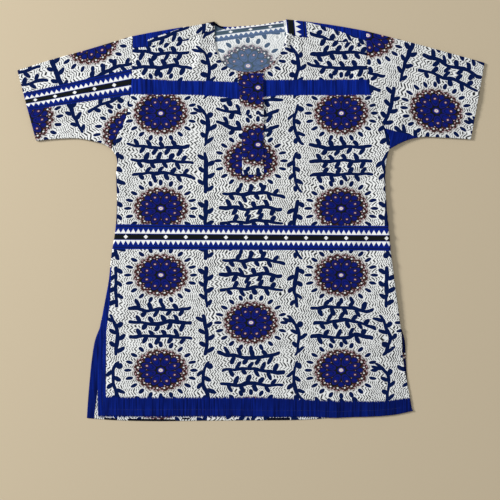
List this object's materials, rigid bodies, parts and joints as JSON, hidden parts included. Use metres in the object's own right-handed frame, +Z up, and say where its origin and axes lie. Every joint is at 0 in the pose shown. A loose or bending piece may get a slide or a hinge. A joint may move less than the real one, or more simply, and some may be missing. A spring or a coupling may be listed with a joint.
{
  "type": "dashiki shirt",
  "caption": "Short-sleeved pull-on shirt laid out flat, front up, with a U neck, an applied placket strip, side vents and a bordered all-over print.",
  "frame": {"origin": "on the surface that the shirt lies on, under the middle of its box", "axes": "+X from the cuff on the left of the picture to the one on its right, +Y from the hem to the neck, +Z up off the surface, on the side of the shirt's front"},
  "size_m": [0.9324, 0.8027, 0.0052],
  "materials": {
    "printed_cotton": "plain-weave cotton, off-white ground with fine black flecks, royal blue bands and navy, royal blue and brown motifs, matt with a faint sheen",
    "strip_cotton": "the same cotton cut through a royal blue motif"
  },
  "bodies": {
    "root": {"back_panel": "printed_cotton", "front_panel": "printed_cotton", "sleeve_left": "printed_cotton", "sleeve_right": "printed_cotton", "placket_strip": "strip_cotton"}
  },
  "joints": []
}
